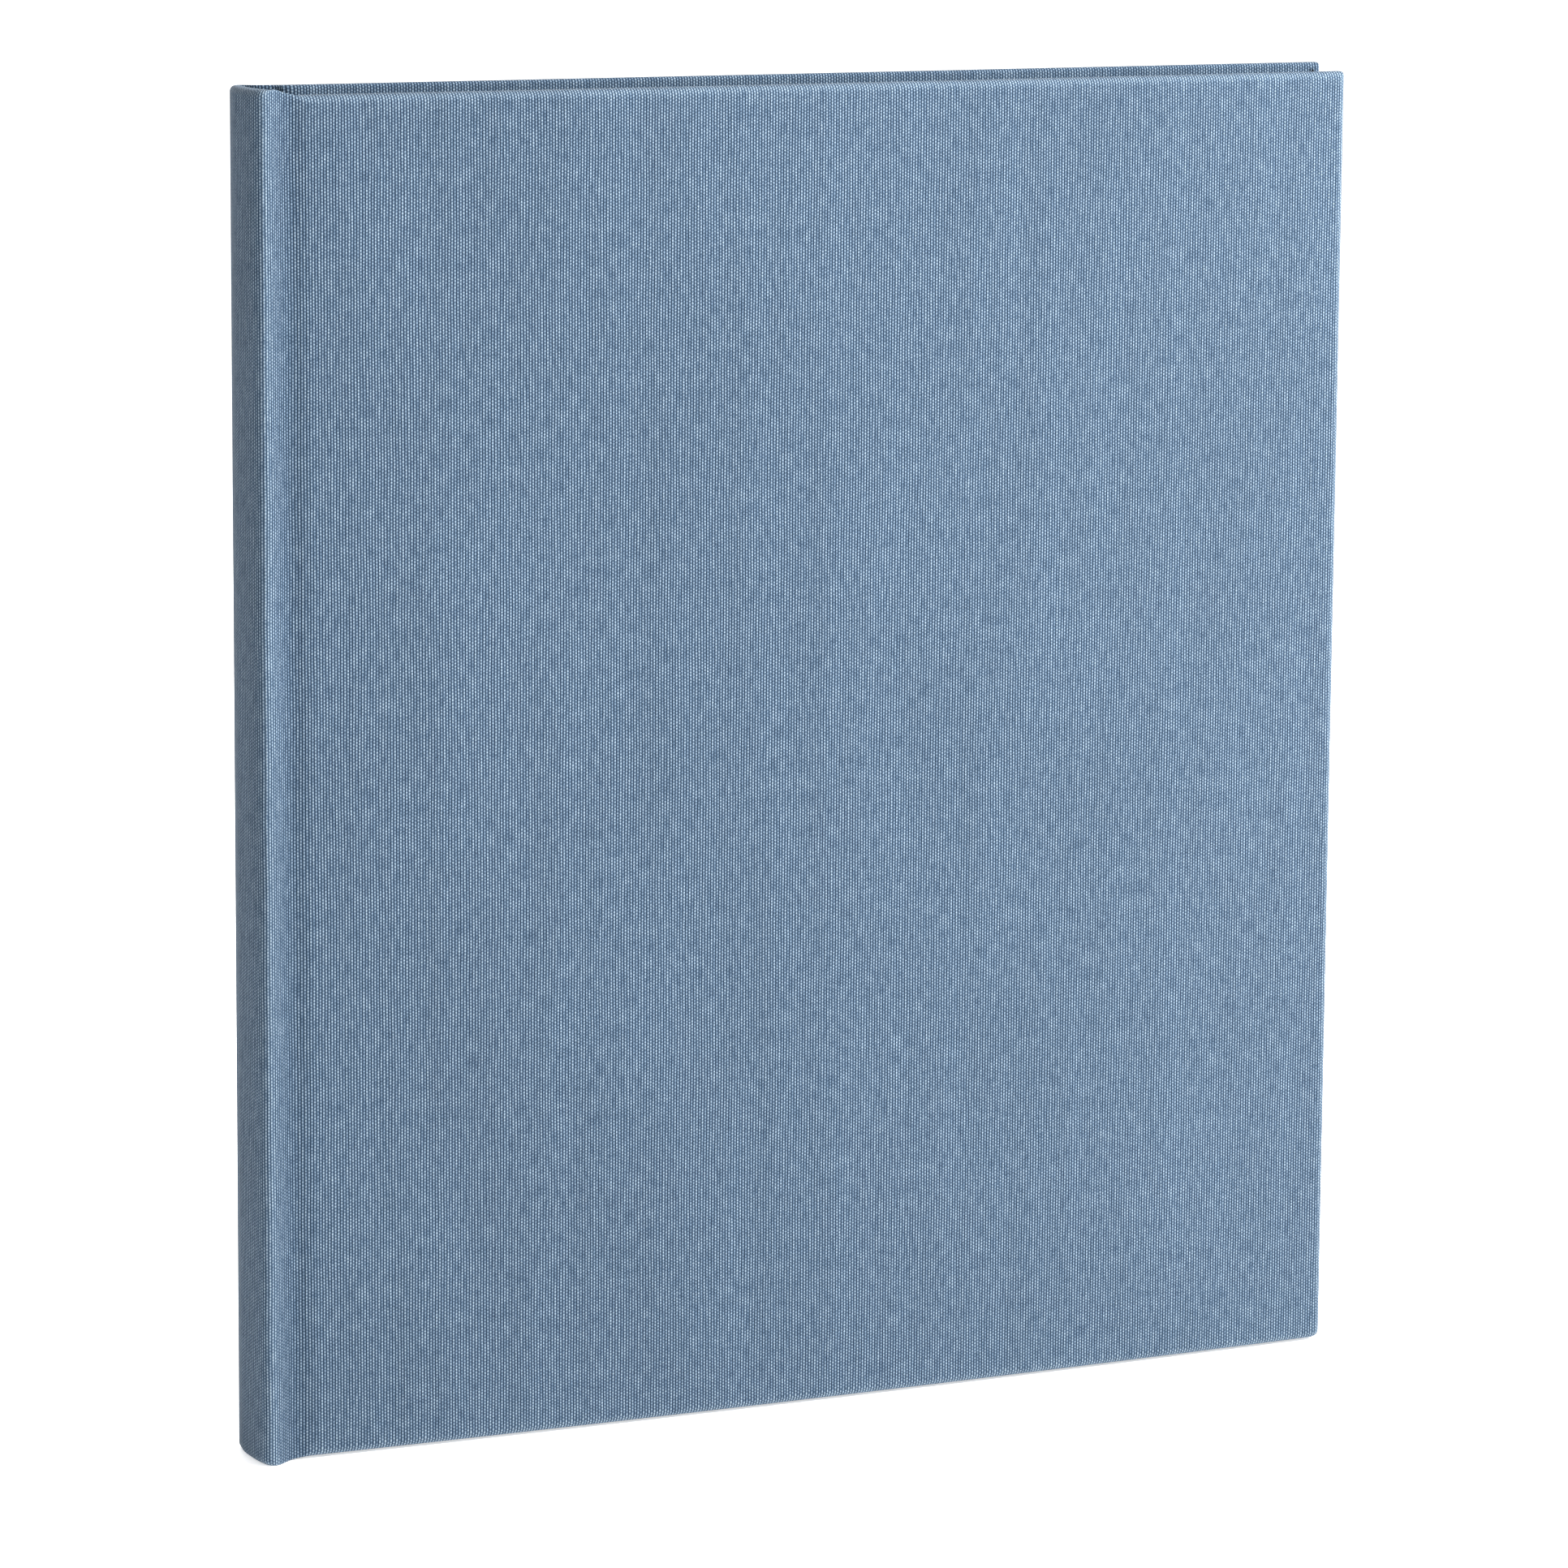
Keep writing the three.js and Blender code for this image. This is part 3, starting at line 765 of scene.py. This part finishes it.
def cad_pieces():
    """CAD nodes that keep their shape: rounded edges, and their own materials."""
    kept = {  # material: width of the rounded edge, and the nodes
        "greyboard": (0.8, ["spine_inlay"]),
        "kraft": (0.05, ["spine_lining"]),
        "tape": (0.05, [f"sewing_tape_{i}" for i in (1, 2, 3)]),
        "headband": (0.25, ["headband_tail", "headband_head"]),
        "guard": (0.1, [f"guard_{i + 1:02d}" for i in range(LEAVES)]),
    }
    for finish, (width, names) in kept.items():
        for name in names:
            piece = bpy.data.objects[name]
            for slot in piece.material_slots:
                slot.material = MATERIALS[finish]
            edge = piece.modifiers.new("rounded", "BEVEL")
            edge.width = width * MM
            edge.segments = 4
            edge.limit_method = "ANGLE"
            edge.angle_limit = math.radians(40)


# ------------------------------------------------------------------- studio

def camera():
    yaw, pitch, roll = (math.radians(a) for a in CAMERA_TURN)
    forward = Vector((math.sin(yaw) * math.cos(pitch), math.cos(yaw) * math.cos(pitch), -math.sin(pitch)))
    right = Vector((math.cos(yaw), -math.sin(yaw), 0))
    up = right.cross(forward)
    right, up = (right * math.cos(roll) + up * math.sin(roll),
                 up * math.cos(roll) - right * math.sin(roll))
    data = bpy.data.cameras.new("camera")
    data.sensor_width = 36
    data.lens = CAMERA_LENS
    data.clip_start, data.clip_end = 0.05, 60
    obj = bpy.data.objects.new("camera", data)
    obj.matrix_world = Matrix.Translation(plan(*CAMERA_PLACE)) @ Matrix(
        (right, up, -forward)).transposed().to_4x4()
    bpy.context.collection.objects.link(obj)
    bpy.context.scene.camera = obj


def area_light(name, place, size, power):
    data = bpy.data.lights.new(name, "AREA")
    data.shape = "DISK"
    data.size = size
    data.energy = power
    obj = bpy.data.objects.new(name, data)
    obj.location = place
    obj.rotation_mode = "QUATERNION"
    obj.rotation_quaternion = (Vector(LAMP_AIM) - Vector(place)).to_track_quat("-Z", "Y")
    bpy.context.collection.objects.link(obj)


def floor():
    mesh = bpy.data.meshes.new("floor")
    reach, count = 14.0, 8
    steps = np.linspace(-reach, reach, count + 1)
    across = count + 1
    verts = [(x, y, 0) for y in steps for x in steps]
    corners = [r * across + c for r in range(count) for c in range(count)]
    mesh.from_pydata(verts, [], [(n, n + 1, n + across + 1, n + across) for n in corners])
    ground = bpy.data.objects.new("floor", mesh)
    ground.data.materials.append(studio_floor())
    bpy.context.collection.objects.link(ground)


def studio():
    world = bpy.data.worlds.new("studio")
    world.use_nodes = True
    tree = world.node_tree
    direction = node(tree, "TexCoord").outputs["Generated"]
    toward = node(tree, "VectorMath", {0: direction, 1: Vector(BRIGHT_SIDE).normalized()},
                  operation="DOT_PRODUCT")
    soft = calc(tree, "MAXIMUM", toward.outputs["Value"], 0.0)
    strength = calc(tree, "MULTIPLY_ADD", soft, SKY_SIDE, SKY)
    seen = node(tree, "LightPath").outputs["Is Camera Ray"]
    strength = calc(tree, "MAXIMUM", strength, calc(tree, "MULTIPLY", seen, BACKDROP))
    background = next(n for n in tree.nodes if n.type == "BACKGROUND")
    background.inputs["Color"].default_value = (1, 1, 1, 1)
    tree.links.new(strength, background.inputs["Strength"])
    bpy.context.scene.world = world
    bpy.context.scene.view_settings.view_transform = "Standard"
    area_light("key", KEY_PLACE, 0.55, KEY_POWER)
    area_light("back", BACK_PLACE, 0.9, BACK_POWER)


camera()
floor()
studio()
for cover in ("front", "back"):
    case_cloth(cover)
board_cores()
pastedowns()
flyleaves()
leaves()
spine_mull()
cad_pieces()
